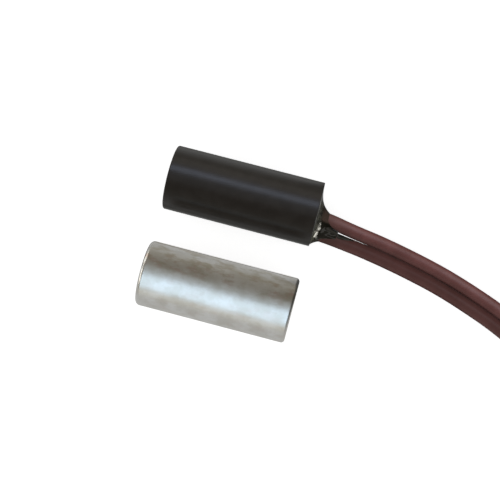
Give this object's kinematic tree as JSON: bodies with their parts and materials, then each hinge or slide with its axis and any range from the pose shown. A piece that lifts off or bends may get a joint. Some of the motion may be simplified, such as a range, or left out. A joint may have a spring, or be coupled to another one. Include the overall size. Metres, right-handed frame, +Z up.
{
  "type": "recessed magnetic contact",
  "caption": "Recessed magnetic contact: a black cylindrical potted reed switch with brown wire leads, and its bare silvery rod magnet lying beside it.",
  "frame": {"origin": "on the surface that both cylinders lie on, under the middle of the box round the switch and its magnet, without the leads", "axes": "+Z up from the surface; +X along both cylinders, from the sensing faces towards the lead exit; the switch lies at +Y and the magnet at -Y"},
  "size_m": [0.0981, 0.0343, 0.0095],
  "materials": {
    "black_plastic": "satin warm black moulded plastic",
    "dark_epoxy": "glossy dark olive epoxy",
    "green_glass": "clear pale green glass",
    "nickel_iron": "drawn nickel-iron wire",
    "solder": "bright solder",
    "tinned_copper": "tinned copper strands",
    "brown_pvc": "satin reddish brown PVC insulation",
    "magnet_metal": "satin silvery magnet alloy with faint warm blotches"
  },
  "bodies": {
    "root": {"switch_housing": "black_plastic", "potting_compound": "dark_epoxy", "glass_envelope": "green_glass", "front_reed": "nickel_iron", "rear_reed": "nickel_iron", "front_solder_joint": "solder", "rear_solder_joint": "solder", "lead_a_core": "tinned_copper", "lead_b_core": "tinned_copper", "lead_a": "brown_pvc", "lead_b": "brown_pvc", "lead_coil": "brown_pvc", "lead_a_tail": "brown_pvc", "lead_b_tail": "brown_pvc", "lead_a_stripped_end": "tinned_copper", "lead_b_stripped_end": "tinned_copper", "magnet": "magnet_metal"}
  },
  "joints": []
}
